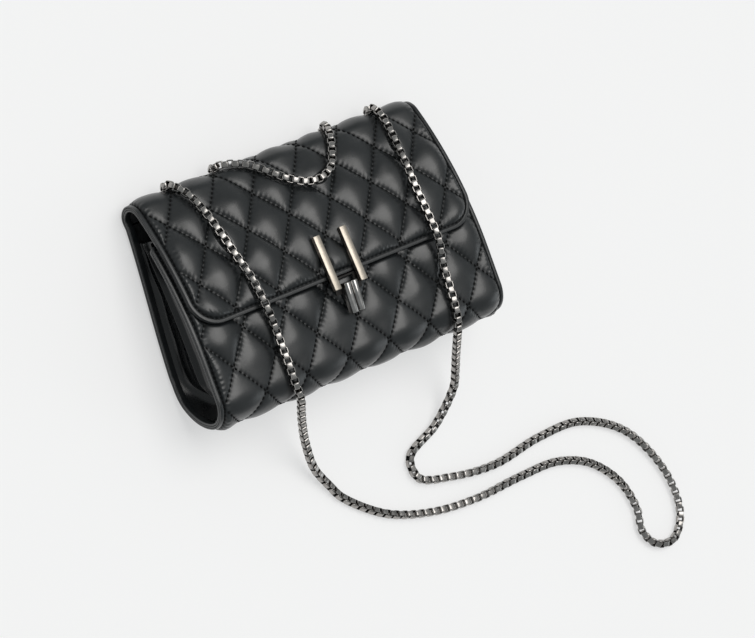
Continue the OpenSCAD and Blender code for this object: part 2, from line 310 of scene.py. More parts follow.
M = {
    "leather": leather("black_leather", (0.0045, 0.0058, 0.0066), (0.0075, 0.0094, 0.0104),
                       0.29, 0.41, 0.00005, 0.4),
    # the gussets' leather: glossier, and darker than the quilted leather as painted shade on the recessed
    # sides
    "smooth": leather("gusset_leather", (0.0025, 0.003, 0.0034), (0.0045, 0.0052, 0.0056),
                      0.2, 0.3, 0.00004, 0.2),
    "thread": matt("black_thread", (0.003, 0.003, 0.003), (0.010, 0.010, 0.010), 2500, 0.00008),
    "lining": cloth("black_twill", (0.006, 0.006, 0.007), (0.022, 0.021, 0.023)),
    "board": matt("bag_board", (0.36, 0.28, 0.19), (0.48, 0.39, 0.28), 700, 0.0001),
    "champagne": metal("satin_champagne", (0.40, 0.358, 0.305), (0.46, 0.414, 0.353), 0.3, 0.4, (1, 0.05, 1)),
    "gunmetal": metal("polished_gunmetal", (0.33, 0.32, 0.31), (0.45, 0.44, 0.43), 0.03, 0.08),
    "links": metal("chain_gunmetal", (0.27, 0.258, 0.246), (0.42, 0.402, 0.385), 0.14, 0.26),
    # dark steel for the washers and the lock plate, and painted shade on the chain links' inner faces
    "dark": metal("dark_steel_and_painted_shade", (0.025, 0.024, 0.023), (0.045, 0.043, 0.042), 0.3, 0.45),
    "spring": metal("spring_steel", (0.35, 0.35, 0.35), (0.45, 0.45, 0.45), 0.2, 0.3),
    "floor": floor_material(),
}


# ---- meshes ----
def piece(name, points, faces, material, slot, smooth=True, seam=None):
    """A mesh object from points in millimetres, with how much of a seam each point is: where leather takes
    painted shade and a duller finish.
    """
    mesh = bpy.data.meshes.new(name)
    mesh.from_pydata((np.asarray(points, float) * MM).tolist(), [], [tuple(f) for f in faces])
    mesh.polygons.foreach_set("use_smooth", [smooth] * len(mesh.polygons))
    mesh.update()
    mesh.materials.append(M[material])
    if seam is not None:
        values = np.asarray(seam, np.float32).ravel()
        mesh.attributes.new("seam", "FLOAT", "POINT").data.foreach_set("value", values)
    obj = bpy.data.objects.new(name, mesh)
    bpy.context.scene.collection.objects.link(obj)
    return obj


def grid_faces(rows, cols, start=0, flip=False, closed=False):
    """Quads between a grid's neighbours. A closed grid's last column joins its first."""
    r, c = np.meshgrid(np.arange(rows - 1), np.arange(cols if closed else cols - 1), indexing="ij")
    right = (c + 1) % cols
    quads = np.stack([r * cols + c, r * cols + right, (r + 1) * cols + right, (r + 1) * cols + c], -1)
    quads = quads.reshape(-1, 4) + start
    return (quads[:, ::-1] if flip else quads).tolist()


def joined(parts):
    """One list of points and faces from several."""
    points, faces, start = [], [], 0
    for p, f in parts:
        points.append(np.asarray(p, float).reshape(-1, 3))
        faces.extend([[i + start for i in face] for face in f])
        start += len(points[-1])
    return np.concatenate(points), faces


# ---- the section ----
def make_section():
    """Distance along the leather, its place in Y and Z, and its normal's angle, finely sampled."""
    steps = []
    a0 = math.radians(LIP_ANGLE)
    hinge = math.radians(HINGE_ANGLE)
    ridge_c = np.array([BACK_TOP_Y, RIDGE_R])
    flap_c = ridge_c + (RIDGE_R - FLAP_R) * np.array([math.cos(hinge), math.sin(hinge)])
    front = math.radians(FRONT_ANGLE)
    out = np.array([math.cos(front), math.sin(front)])
    base_c = np.array([BACK_LOW_Y - BASE_BACK_R + BASE_FRONT_R, BASE_BACK_R])
    run = np.linalg.norm(flap_c + FRONT_R * out - base_c - BASE_FRONT_R * out)
    turns = [(FLAP_R, LIP_ANGLE - HINGE_ANGLE), (RIDGE_R, HINGE_ANGLE + 90), (None, BACK_TOP_Y - BACK_LOW_Y),
             (BASE_BACK_R, 90), (BASE_FRONT_R, 180 - FRONT_ANGLE), (None, run),
             (FRONT_R, FRONT_ANGLE - MOUTH_ANGLE)]
    place = flap_c + FLAP_R * np.array([math.cos(a0), math.sin(a0)])
    s, a = 0.0, a0
    marks = [0.0]
    for radius, amount in turns:
        length = amount if radius is None else radius * math.radians(amount)
        count = int(length / 0.25) + 2
        t = np.linspace(0, 1, count)
        if radius is None:
            angles = np.full(count, a)
            ys = place[0] + math.sin(a) * length * t
            zs = place[1] - math.cos(a) * length * t
        else:
            angles = a - math.radians(amount) * t
            centre = place - radius * np.array([math.cos(a), math.sin(a)])
            ys = centre[0] + radius * np.cos(angles)
            zs = centre[1] + radius * np.sin(angles)
        steps.append(np.stack([s + length * t, ys, zs, angles], -1))
        s, a, place = s + length, angles[-1], np.array([ys[-1], zs[-1]])
        marks.append(s)
    return np.concatenate(steps), marks


SECTION, MARKS = make_section()
S_BACK, S_BACK_LOW, S_BASE, S_FRONT_LOW, S_FRONT, S_MOUTH = MARKS[2:]
S_LIP = S_FRONT + FRONT_R * math.radians(FRONT_ANGLE - LIP_ANGLE)


def on_section(x, s, height):
    """Points over the leather's mean surface, and its outward normals."""
    y, z, a = (np.interp(s, SECTION[:, 0], SECTION[:, k]) for k in (1, 2, 3))
    normal = np.stack([np.zeros_like(a), np.cos(a), np.sin(a)], -1)
    base = np.stack(np.broadcast_arrays(x, y, z), -1)
    return base + normal * np.asarray(height)[..., None], normal


def travel(s):
    """The direction along the section in which s grows."""
    a = np.interp(s, SECTION[:, 0], SECTION[:, 3])
    return np.stack([np.zeros_like(a), np.sin(a), -np.cos(a)], -1)


# ---- quilting ----
PAD_VARIETY = random.uniform(0.88, 1.1, (64, 64))
PAD_TILT = random.uniform(-1, 1, (64, 64, 2))
PULLS = random.uniform(0.3, 1.5, (64, 64, 2))
WRINKLES = [(random.uniform(0, 2 * math.pi), random.uniform(0.18, 0.75), random.uniform(0, 2 * math.pi))
            for _ in range(9)]


def lattice(x, s):
    """Where a point is between the two families of seams, in units of a pad."""
    back = smoothstep((s - S_BACK) / (S_BACK_LOW - S_BACK))
    x = x - FRONT_DRIFT_X * back
    s = s + FRONT_DRIFT_S * back - LATTICE_FIRST
    return (x / LATTICE_W + s / LATTICE_H - 0.5), (x / LATTICE_W - s / LATTICE_H - 0.5)


def from_lattice(a, b):
    """The point on the flap, the back or the front that has these lattice values."""
    x = (a + b + 1) / 2 * LATTICE_W
    s = (a - b) / 2 * LATTICE_H + LATTICE_FIRST
    for _ in range(6):
        back = smoothstep((s - S_BACK) / (S_BACK_LOW - S_BACK))
        s = (a - b) / 2 * LATTICE_H + LATTICE_FIRST - FRONT_DRIFT_S * back
    return x + FRONT_DRIFT_X * smoothstep((s - S_BACK) / (S_BACK_LOW - S_BACK)), s


def slack(s):
    """How deep the quilting is: less where the leather is stretched over the ridge and round the base."""
    over_ridge = smoothstep((s - 58) / 16) * (1 - smoothstep((s - S_BACK) / 12))
    over_base = smoothstep((s - S_BACK_LOW - 12) / 18) * (1 - smoothstep((s - S_FRONT_LOW - 4) / 14))
    return 1 - RIDGE_TAUT * over_ridge - BASE_TAUT * over_base


def lie_flat(s):
    """How far the leather is pressed in where it rests on the table."""
    down = smoothstep((s - S_BACK + 8) / 14) * (1 - smoothstep((s - S_BACK_LOW) / 22))
    return -PAD_PEAK * down


def seam_shade(x, s, edge, along):
    """1 at the stitches, where the leather is crushed, duller and painted in shade, falling to 0 beside them.
    """
    a, b = lattice(x, s)
    # painted shade and a duller finish follow this mask, along the quilting's seams and the rims' stitching
    at_stitch = [0.62 - 0.38 * np.cos(2 * np.pi * v * STITCHES_A_SIDE) for v in (b, a)]
    near = [np.exp(-(PAD_SIDE * (v - np.round(v)) / SEAM_SHADE_AND_DULL) ** 2) for v in (a, b)]
    quilting = np.maximum(near[0] * at_stitch[0], near[1] * at_stitch[1]) * (edge > RIM_W)
    rim = np.exp(-((edge - RIM_W) / (0.8 * SEAM_SHADE_AND_DULL)) ** 2)
    return np.maximum(quilting, rim * (0.7 - 0.3 * np.cos(2 * np.pi * along / EDGE_STITCH)))


def quilt_height(x, s, edge, along, press=1.0):
    """Height of the quilted leather over its mean surface. edge is the distance from its free edge."""
    a, b = lattice(x, s)
    fa, fb = a - np.floor(a), b - np.floor(b)
    i, j = np.floor(a).astype(int) % 64, np.floor(b).astype(int) % 64
    swell = (np.sin(np.pi * fa) * np.sin(np.pi * fb)) ** PAD_POWER
    tilt = PAD_TILT[i, j]
    lean = 1 + 0.10 * (tilt[..., 0] * (fa - 0.5) + tilt[..., 1] * (fb - 0.5))
    full = (PAD_PEAK - PAD_GROOVE) * PAD_VARIETY[i, j] * lean * press
    along_a, along_b = b * STITCHES_A_SIDE, a * STITCHES_A_SIDE
    near_a, near_b = PAD_SIDE * np.minimum(fa, 1 - fa), PAD_SIDE * np.minimum(fb, 1 - fb)
    pull_a, pull_b = PULLS[i, j, 0], PULLS[i, j, 1]
    beat_a, beat_b = np.cos(2 * np.pi * along_a), np.cos(2 * np.pi * along_b)
    pucker = (pull_a * beat_a * np.exp(-((near_a - PUCKER_FROM_SEAM) / PUCKER_W) ** 2)
              + pull_b * beat_b * np.exp(-((near_b - PUCKER_FROM_SEAM) / PUCKER_W) ** 2))
    bridge = BRIDGE * (beat_a * np.exp(-(near_a / BRIDGE_W) ** 2)
                       + beat_b * np.exp(-(near_b / BRIDGE_W) ** 2))
    wrinkle = sum(np.sin((x * math.cos(d) + s * math.sin(d)) * k + p) for d, k, p in WRINKLES) / len(WRINKLES)
    loose = slack(s)
    pads = TAUT_LEVEL + (PAD_GROOVE - TAUT_LEVEL + full * swell) * loose
    pads = pads + (PUCKER * pucker + bridge) * loose + WRINKLE_DEPTH * wrinkle * swell
    rise = np.clip((edge - RIM_W) / RIM_RISE, 0, 1)
    pillow = np.sqrt(1 - (1 - rise) ** 2)
    gathers = np.cos(2 * np.pi * along / EDGE_STITCH) * np.exp(-((edge - RIM_W - 1.7) / PUCKER_W) ** 2)
    gathers = gathers * (1 + 0.5 * np.sin(along * 0.43 + 1) + 0.3 * np.sin(along * 0.97))
    pads = pads + EDGE_GATHER * gathers
    seam = np.exp(-((edge - RIM_W) / 0.55) ** 2)
    rim = -RIM_DEPTH + 0.12 * np.sin(np.pi * np.clip(edge / RIM_W, 0, 1))
    height = np.where(edge < RIM_W, rim, -RIM_DEPTH + (pads + RIM_DEPTH) * pillow)
    return np.maximum(height - (EDGE_SEAM - RIM_DEPTH) * seam + lie_flat(s), DEEPEST)


def spread(half, step):
    """Column places from side to side, closer together at the rims."""
    rim = np.array([0, 0.2, 0.5, 0.9, 1.4, 1.9, 2.25, 2.45, 2.6, 2.75, 3.0, 3.4, 3.9, 4.5, 5.2, 6.0, 6.7])
    middle = np.linspace(-(half - 7.1), half - 7.1, int(2 * (half - 7.1) / step))
    return np.concatenate([-half + rim, middle, half - rim[::-1]])


def panel_rows(corner, length, step):
    """Row places from the free edge inwards, closer together round the corners."""
    turn = np.linspace(0, math.pi / 2, max(10, int(corner * 1.5)))
    first = corner * (1 - np.cos(turn))
    return np.concatenate([first, np.linspace(corner, length, int((length - corner) / step))[1:]])


# How an edge turns over: outwards and downwards from the rim's end, three layers with fine grooves between
GROOVE_IN = -0.4
EDGE_PROFILE = [
    (0.0, 0.0), (0.14, 0.05), (0.22, 0.2), (0.24, 0.55), (0.12, 0.85), (GROOVE_IN, 1.0), (GROOVE_IN, 1.15),
    (0.2, 1.25), (0.3, 1.5), (0.26, 1.85), (GROOVE_IN, 2.0), (GROOVE_IN, 2.15), (0.1, 2.25), (0.2, 2.5),
    (0.18, 3.0), (0.0, 3.3), (-0.6, 3.36), (-3.6, 3.4)]
# the seam attribute on the turned edge: 1 in the grooves between its layers, which the leather's material
# darkens and dulls
EDGE_LINE = [1.0 if o == GROOVE_IN else 0.0 for o, _ in EDGE_PROFILE]


def flap_half(s):
    return np.full(np.shape(s), FLAP_HALF)


def body_half(s):
    """Half the leather's width, which grows from the ridge down the back to the base."""
    down = smoothstep((np.asarray(s, float) - S_BACK) / (S_BACK_LOW - S_BACK))
    return FLAP_HALF + (BODY_HALF - FLAP_HALF) * down


def no_press(_x, _s):
    """The flap's pads are full everywhere."""
    return 1.0


def under_flap(x, s):
    """How full the front's pads stay: the closed flap presses them down."""
    across = np.maximum(np.abs(x) - (FLAP_HALF - FLAP_CORNER), 0)
    along = np.maximum(FLAP_CORNER - (s - S_LIP), 0)
    inside = np.where((across > 0) & (along > 0), FLAP_CORNER - np.hypot(across, along),
                      np.minimum(FLAP_HALF - np.abs(x), s - S_LIP))
    return 1 - 0.66 * smoothstep((inside + 2.5) / 5)


def edge_distance(x, s, free_s, half, corner):
    """Distance from a panel's free edge and sides, and its parts past the corner's centre."""
    m = np.abs(s - free_s)
    cx, cm = np.maximum(np.abs(x) - (half - corner), 0), np.maximum(corner - m, 0)
    edge = np.where((cx > 0) & (cm > 0), corner - np.hypot(cx, cm), np.minimum(half - np.abs(x), m))
    along = np.where(half - np.abs(x) < m, s, x)
    return np.maximum(edge, 0), along, cx, cm


def leather_point(x, s, panel, lift=0.0):
    """Points on a panel's finished surface, and their normals."""
    free_s, _, half_at, corner, press = panel
    edge, along, _, _ = edge_distance(x, s, free_s, half_at(s), corner)
    height = quilt_height(x, s, edge, along, press(x, s))
    points, normals = on_section(x, s, height + lift)
    return dented(points, normals), normals


def panel_mesh(panel, step=0.66):
    """Quilted leather from a free edge with round corners to a far edge, with its turned edges."""
    free_s, far_s, half_at, corner, press = panel
    sign = 1 if far_s > free_s else -1
    m = panel_rows(corner, abs(far_s - free_s), step)
    s = free_s + sign * m
    widest = float(half_at(far_s))
    half = half_at(s)
    round_half = half - corner + np.sqrt(np.maximum(corner ** 2 - np.maximum(corner - m, 0) ** 2, 0))
    x = (spread(widest, step) / widest)[None, :] * round_half[:, None]
    ss = np.broadcast_to(s[:, None], x.shape)
    edge, along, cx, cm = edge_distance(x, ss, free_s, half[:, None], corner)
    points, normals = leather_point(x, ss, (free_s, far_s, lambda _: half[:, None], corner, press))
    rows, cols = x.shape
    faces = grid_faces(rows, cols, flip=sign < 0)
    # the free boundary, from the far edge along one side, round the free edge and back along the other
    loop = [(r, 0) for r in range(rows - 1, 0, -1)] + [(0, c) for c in range(cols)]
    loop += [(r, cols - 1) for r in range(1, rows)]
    r, c = np.array(loop).T
    turned = (cx[r, c] > 0) & (cm[r, c] > 0)
    side = (c == 0) | (c == cols - 1)
    ox = np.sign(x[r, c]) * np.where(turned, cx[r, c] / corner, np.where(side, 1.0, 0.0))
    om = np.where(turned, cm[r, c] / corner, np.where(side, 0.0, 1.0))
    outward = unit(np.stack([ox, 0 * ox, 0 * ox], -1) - sign * om[:, None] * travel(ss[r, c]))
    base, normal = points[r, c], normals[r, c]
    strip = np.stack([base + outward * o - normal * d for o, d in EDGE_PROFILE])
    keep = [f for f in faces if not in_eyelet(points.reshape(-1, 3)[f].mean(0))]
    edge_shade = np.repeat([EDGE_LINE], len(loop), 0).T
    seam = np.concatenate([seam_shade(x, ss, edge, along).ravel(), edge_shade.ravel()])
    mesh = joined([(points, keep), (strip, grid_faces(len(EDGE_PROFILE), len(loop), flip=sign > 0))])
    return mesh, seam


# ---- the eyelets' places ----
EYELETS = [-71.0, -38.5, 38.5, 71.0]
EYELET_ANGLE = math.radians(-12)
EYELET_AXIS = np.array([0, math.cos(EYELET_ANGLE), math.sin(EYELET_ANGLE)])
EYELET_SEAT = 11.7
EYELET_BORE = 3.9
EYELET_FLANGE = 5.4
EYELET_HOLE = 4.65
EYELET_PLACES = [np.array([x, BACK_TOP_Y, RIDGE_R]) + EYELET_SEAT * EYELET_AXIS for x in EYELETS]


def from_eyelet(p):
    """Distance from the nearest eyelet's axis and height over its seat, inside the ridge's reach."""
    p = np.asarray(p, float)
    best = None
    for place in EYELET_PLACES:
        gap = p - place
        height = gap @ EYELET_AXIS
        aside = np.linalg.norm(gap - height[..., None] * EYELET_AXIS, axis=-1)
        aside = np.where(np.abs(height) < 6, aside, 99)
        best = (aside, height) if best is None else (np.minimum(best[0], aside),
                                                     np.where(aside < best[0], height, best[1]))
    return best


def in_eyelet(p):
    return from_eyelet(np.asarray(p)[None])[0][0] < EYELET_HOLE


# ---- the chain ----
CHAIN_LEFT_UPPER = [
    (-71, 59, 11.6), (-71, 64, 10.3), (-71.2, 67.2, 12), (-71.2, 68.1, 16), (-70.2, 66.4, 20.6),
    (-67.8, 62.6, 25.2), (-65.2, 55, 30.2), (-63.2, 44, 35.9), (-61.8, 32, 41.5), (-60, 20, 46),
    (-57.6, 8, 49.6)]
CHAIN_LEFT_FALL = [
    (-57.6, 8, 49.6), (-55.8, -11, 52.9), (-53.8, -23, 51.1), (-52.8, -56, 52.4), (-49.4, -65.8, 47),
    (-47, -72.5, 40), (-43.6, -80.7, 31), (-38, -95, 18), (-31.6, -113.1, 8), (-23.2, -126.8, 4.2),
    (-17, -136, 3.1)]
CHAIN_TABLE_RUN = [
    (-17, -136, 3.1), (8, -155.5, 3.1), (38, -165.8, 3.1), (70, -169.4, 3.1), (104, -168.5, 3.1),
    (132, -169.6, 3.1), (154, -178.5, 3.1), (171, -196.5, 3.1), (177.6, -216, 3.1), (176.8, -231, 3.1),
    (184, -241.5, 3.1), (197, -243.6, 3.1), (207, -232, 3.1), (206.5, -206, 3.1), (187, -171, 3.1),
    (156, -153, 3.1), (124, -151.5, 3.1), (90, -155.4, 3.1), (58, -151.5, 3.1), (36, -144, 3.1),
    (34.5, -131, 3.1)]
CHAIN_RIGHT_FALL = [
    (34.5, -131, 3.1), (57.1, -118.7, 4.6), (70.8, -101.2, 13), (70.3, -90.8, 21), (67.4, -80.4, 31),
    (64.1, -71.6, 41), (62.4, -63.9, 48), (61.8, -54, 52.7), (64.2, -23, 51.1), (64.8, -11, 52.9),
    (64.4, 6, 50.2)]
CHAIN_RIGHT_UPPER = [
    (64.4, 6, 50.2), (64.8, 20, 46), (66.4, 32, 41.5), (68.2, 44, 35.9), (69.8, 55, 30.2), (70.8, 62.6, 25.2),
    (71.2, 66.4, 20.6), (71.2, 68.1, 16), (71.1, 67.2, 12), (71, 64, 10.3), (71, 59, 11.6)]
CHAIN_SHORT_LOOP = [
    (-38.5, 59, 11.6), (-38.5, 64, 10.3), (-38.6, 67.3, 12.2), (-37, 68.1, 16.2), (-30, 66.8, 20.4),
    (-22, 63, 24.8), (-14, 56.4, 29.2), (-6, 49.6, 33), (3, 44.8, 35.4), (13, 43.8, 35.9), (22, 47.2, 34.3),
    (28, 54, 30.6), (32.6, 61.2, 26.2), (36.2, 66.4, 20.4), (38, 68.2, 15.6), (38.6, 67, 12),
    (38.5, 64, 10.3), (38.5, 59, 11.6)]
CHAIN_INSIDE_RIGHT = [(38.5, 59, 11.6), (47, 53, 12.6), (62.5, 53, 12.6), (71, 59, 11.6)]
CHAIN_INSIDE_LEFT = [(-x, y, z) for x, y, z in CHAIN_INSIDE_RIGHT]

LINK_PITCH = 2.9
LINK_T = 0.8
LINK_LONG = LINK_PITCH + 2 * LINK_T
LINK_HIGH = 4.8
LINK_WIDE = 3.0
LINK_CORNER = 1.2
LINK_BEVEL = 0.22
LINK_CROWN = 0.13
CHAIN_FACES = (-0.34, 0.1, 0.93)


def smooth_path(route, step):
    """Points at equal steps along one smooth curve through a route."""
    p = np.array(route, float)
    p = np.concatenate([[2 * p[0] - p[1]], p, [2 * p[-1] - p[-2]]])
    knots = np.concatenate([[0], np.cumsum(np.linalg.norm(np.diff(p, axis=0), axis=1) ** 0.5)])
    runs = []
    for i in range(1, len(p) - 2):
        t = np.linspace(knots[i], knots[i + 1], 24, endpoint=False)[:, None]
        q, k = p[i - 1:i + 3], knots[i - 1:i + 3]
        level = [((k[j + 1] - t) * q[j] + (t - k[j]) * q[j + 1]) / (k[j + 1] - k[j]) for j in range(3)]
        level = [((k[j + 2] - t) * level[j] + (t - k[j]) * level[j + 1]) / (k[j + 2] - k[j])
                 for j in range(2)]
        runs.append(((k[2] - t) * level[0] + (t - k[1]) * level[1]) / (k[2] - k[1]))
    dense = np.concatenate(runs + [p[-2:-1]])
    run = np.concatenate([[0], np.cumsum(np.linalg.norm(np.diff(dense, axis=0), axis=1))])
    count = max(2, round(run[-1] / step))
    at = np.linspace(0, run[-1], count + 1)
    return np.stack([np.interp(at, run, dense[:, k]) for k in range(3)], -1)


def carried_frames(path, first_normal):
    """A tangent and two normals at each point, turned on from one point to the next."""
    tangents = unit(np.gradient(path, axis=0))
    normal = np.array(first_normal, float)
    normals = []
    for t in tangents:
        normal = normal - np.dot(normal, t) * t
        normal = normal / np.linalg.norm(normal)
        normals.append(normal)
    normals = np.array(normals)
    return tangents, normals, np.cross(tangents, normals)


def link_shape():
    """One link, a strip bent into a square ring: across the chain, along it and through the ring."""
    outline = []
    for k in range(4):
        centre = np.array([(LINK_LONG / 2 - LINK_CORNER) * (1, -1, -1, 1)[k],
                           (LINK_HIGH / 2 - LINK_CORNER) * (1, 1, -1, -1)[k]])
        for turn in np.radians(np.linspace(0, 90, 5) + 90 * k):
            out = np.array([math.cos(turn), math.sin(turn)])
            outline.append((centre + LINK_CORNER * out, out))
    w, b, crown = LINK_WIDE / 2, LINK_BEVEL, LINK_CROWN
    profile = [(b + crown, -w), (crown, b - w), (0, 0), (crown, w - b), (b + crown, w), (LINK_T - b, w),
               (LINK_T, w - b), (LINK_T, b - w), (LINK_T - b, -w)]
    return np.array([[(*(q - o * inset), across) for inset, across in profile] for q, o in outline])


LINK = link_shape()


def chain_links(path, frames, twist, first):
    """Links at every point of the path, every other one turned a quarter round it."""
    rings, sides = LINK.shape[:2]
    faces = grid_faces(rings + 1, sides, closed=True)
    faces = [[i % (rings * sides) for i in f] for f in faces]
    parts = []
    for i, (centre, t, n, m) in enumerate(zip(path, *frames)):
        turn = twist[i] + (math.pi / 2 if (i + first) % 2 else 0)
        across = math.cos(turn) * n + math.sin(turn) * m
        through = math.cos(turn) * m - math.sin(turn) * n
        parts.append((centre + LINK @ np.stack([t, across, through]), faces))
    return joined(parts)


def facing(frames, direction):
    """The twist that turns the links' flat sides towards a direction."""
    t, n, m = frames
    out = np.array(direction) - (t @ np.array(direction))[:, None] * t
    return np.arctan2((out * m).sum(-1), (out * n).sum(-1))


def chain_piece(name, nodes, path, frames, twist, first, blend=None):
    """A run of links, with painted shade on their inner faces, that stands for some of the frame's tubes."""
    points, faces = chain_links(path, frames, twist, first)
    obj = piece(name, points, faces, "links", "chain_metal")
    obj.data.materials.append(M["dark"])
    sides = LINK.shape[1]
    # the links' inner faces take the dark steel: painted shade
    inside = [1 if i % sides in (5, 6, 7) else 0 for i in range(len(faces))]
    obj.data.polygons.foreach_set("material_index", inside)
    obj.data.set_sharp_from_angle(angle=math.radians(35))
    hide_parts(*nodes)
    if blend:
        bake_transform(obj)
    else:
        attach(obj, "root")


# Two places, on the ridge and on the flap, given to the chain's pieces over the leather; only that a piece
# has them is read, which leaves it without a parent
FOLD = (Vector((0, 66.0, 15.0)) * MM, Vector((0, 51.5, 31.5)) * MM)
# Two places along Y, from the table to the lip, given to the strand over the purse; only that it has them is
# read, which leaves it without a parent
LIFT = (Vector((0, -0.140, 0)), Vector((0, -0.022, 0)))


def chain():
    whole = CHAIN_LEFT_UPPER + CHAIN_LEFT_FALL[1:] + CHAIN_TABLE_RUN[1:] + CHAIN_RIGHT_FALL[1:]
    whole += CHAIN_RIGHT_UPPER[1:]
    path = smooth_path(whole, LINK_PITCH)
    frames = carried_frames(path, (0, 0.2, -1))
    share = np.linspace(0, 1, len(path))
    lying = smoothstep((share - 0.13) / 0.12) * (1 - smoothstep((share - 0.8) / 0.1))
    twist = facing(frames, CHAIN_FACES) + 0.7 * lying * np.sin(share * 17 + 0.6) + 0.07 * np.sin(share * 90)
    ends = [int(np.argmin(np.linalg.norm(path - p, axis=1)))
            for p in (CHAIN_LEFT_FALL[0], CHAIN_RIGHT_UPPER[0])]
    strand = CHAIN_LEFT_FALL + CHAIN_TABLE_RUN[1:] + CHAIN_RIGHT_FALL[1:]
    cuts = [("left_upper", CHAIN_LEFT_UPPER, ["chain_left_upper"], 0, ends[0], FOLD),
            ("long_strand", strand, ["chain_left_fall", "chain_table_run", "chain_right_fall"], *ends, LIFT),
            ("right_upper", CHAIN_RIGHT_UPPER, ["chain_right_upper"], ends[1], len(path), FOLD)]
    for name, route, nodes, a, b, bend in cuts:
        part = [f[a:b] for f in frames]
        chain_piece("chain_links_" + name, nodes, path[a:b], part, twist[a:b], a, bend)
    loops = [("short_loop", CHAIN_SHORT_LOOP, FOLD), ("inside_left", CHAIN_INSIDE_LEFT, None),
             ("inside_right", CHAIN_INSIDE_RIGHT, None)]
    for name, route, bend in loops:
        run = smooth_path(route, LINK_PITCH)
        frames = carried_frames(run, (0, 0.2, -1))
        twist = facing(frames, CHAIN_FACES) + 0.15 * np.sin(np.linspace(0, 7, len(run)))
        chain_piece("chain_links_" + name, ["chain_" + name], run, frames, twist, 0, bend)


# ---- what presses into the padding ----
BAR_SLOPE = math.radians(10.97)
BAR_X = abs(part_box("left_lock_bar")[0].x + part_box("left_lock_bar")[1].x) / 2 / MM
BAR_W = (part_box("left_lock_bar")[1].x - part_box("left_lock_bar")[0].x) / MM
BAR_MID_Z = 51.4
BAR_LEN = 32.4
BAR_T = 3
KNOB_BOX = [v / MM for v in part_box("turn_knob")]
BASE_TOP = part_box("turn_lock_base")[1].z / MM
PRESS_DEPTH = 2.85


def over_leather():
    """The chain's line where it lies on the leather, past the eyelets."""
    lines = []
    skip = 12
    for route in (CHAIN_LEFT_UPPER + CHAIN_LEFT_FALL[1:6], CHAIN_RIGHT_FALL[2:] + CHAIN_RIGHT_UPPER[1:],
                  CHAIN_SHORT_LOOP):
        run = smooth_path(route, 1.0)
        start = skip if route[0][1] > 50 else 0
        stop = len(run) - skip if route[-1][1] > 50 else len(run)
        lines.append(run[start:stop])
    return np.concatenate(lines)


CHAIN_LINE = over_leather()


def dented(points, normals):
    """Leather pushed in under the chain, the trim bars and the lock."""
    p, n = points.reshape(-1, 3).copy(), normals.reshape(-1, 3)
    for start in range(0, len(p), 8000):
        block = slice(start, start + 8000)
        gap = p[block][:, None] - CHAIN_LINE[None]
        nearest = np.argmin((gap ** 2).sum(-1), axis=1)
        gap = gap[np.arange(len(gap)), nearest]
        height = (gap * n[block]).sum(-1)
        aside = np.sqrt(np.maximum((gap ** 2).sum(-1) - height ** 2, 0))
        allowed = -PRESS_DEPTH + 0.30 * np.maximum(aside - 1.5, 0) ** 2
        drop = np.where((aside < 5.5) & (height < 1), np.clip(height - allowed, 0, 4), 0)
        p[block] -= n[block] * drop[:, None]
    aside, height = from_eyelet(p)
    limit = -0.1 + 0.12 * np.maximum(aside - EYELET_FLANGE - 0.2, 0) ** 2
    p -= EYELET_AXIS * np.where(aside < 12, np.clip(height - limit, 0, 5), 0)[:, None]
    in_front = p[:, 2] > 40
    presses = [(side * BAR_X, 0, BAR_W / 2, BAR_LEN / 2, BAR_MID_Z - BAR_T - 0.05, -math.tan(BAR_SLOPE))
               for side in (-1, 1)]
    presses += [(0, LOCK.y, 3.8, 6.2, BASE_TOP - 1.15, 0), (0, LOCK.y, 5.0, 9.2, KNOB_BOX[0].z - 0.35, 0)]
    for cx, cy, hx, hy, z, slope in presses:
        outside = np.hypot(np.maximum(np.abs(p[:, 0] - cx) - hx, 0), np.maximum(np.abs(p[:, 1] - cy) - hy, 0))
        limit = z + slope * (p[:, 1] - cy) + 0.28 * outside ** 2
        p[:, 2] = np.where(in_front & (outside < 4) & (p[:, 2] < z + 6), np.minimum(p[:, 2], limit), p[:, 2])
    return p.reshape(points.shape)


# ---- quilted leather, its stitches and its linings ----
FLAP = (0.0, S_BACK, flap_half, FLAP_CORNER, no_press)
BODY = (S_MOUTH, S_BACK, body_half, MOUTH_CORNER, under_flap)
STITCH_LONG = 1.75
STITCH_WIDE = 0.95
STITCH_LIFT = 0.26
SEAM_LINES = (-13, 15)


def quilts():
    mesh, seam = panel_mesh(FLAP)
    flap = piece("flap_quilt", *mesh, "leather", "outer_leather", seam=seam)
    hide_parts("flap_leather", "flap_padding")
    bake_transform(flap)
    mesh, seam = panel_mesh(BODY)
    body = piece("body_quilt", *mesh, "leather", "outer_leather", seam=seam)
    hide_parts("body_wrap", "body_padding")
    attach(body, "root")


def capsules(starts, ends, normals, wide, sides=6):
    """A short tapered thread between each pair of points."""
    along = np.array([-1.0, -0.75, 0.0, 0.75, 1.0])
    thick = np.array([0.3, 0.85, 1.0, 0.85, 0.3])
    t = unit(ends - starts)
    n = unit(normals - (normals * t).sum(-1, keepdims=True) * t)
    side = np.cross(t, n)
    middle, half = (starts + ends) / 2, np.linalg.norm(ends - starts, axis=-1)[:, None, None] / 2
    around = np.linspace(0, 2 * np.pi, sides, endpoint=False)
    ring = (np.cos(around)[None, :, None] * side[:, None] + np.sin(around)[None, :, None] * n[:, None] * 0.75)
    points = (middle[:, None, None] + (t[:, None] * half * along[None, :, None])[:, :, None]
              + ring[:, None] * (wide / 2 * thick)[None, :, None, None])
    one = grid_faces(len(along), sides, closed=True)
    one += [list(range(sides))[::-1], [len(along) * sides - sides + k for k in range(sides)]]
    count = len(along) * sides
    return points.reshape(-1, 3), [[i + k * count for i in f] for k in range(len(starts)) for f in one]


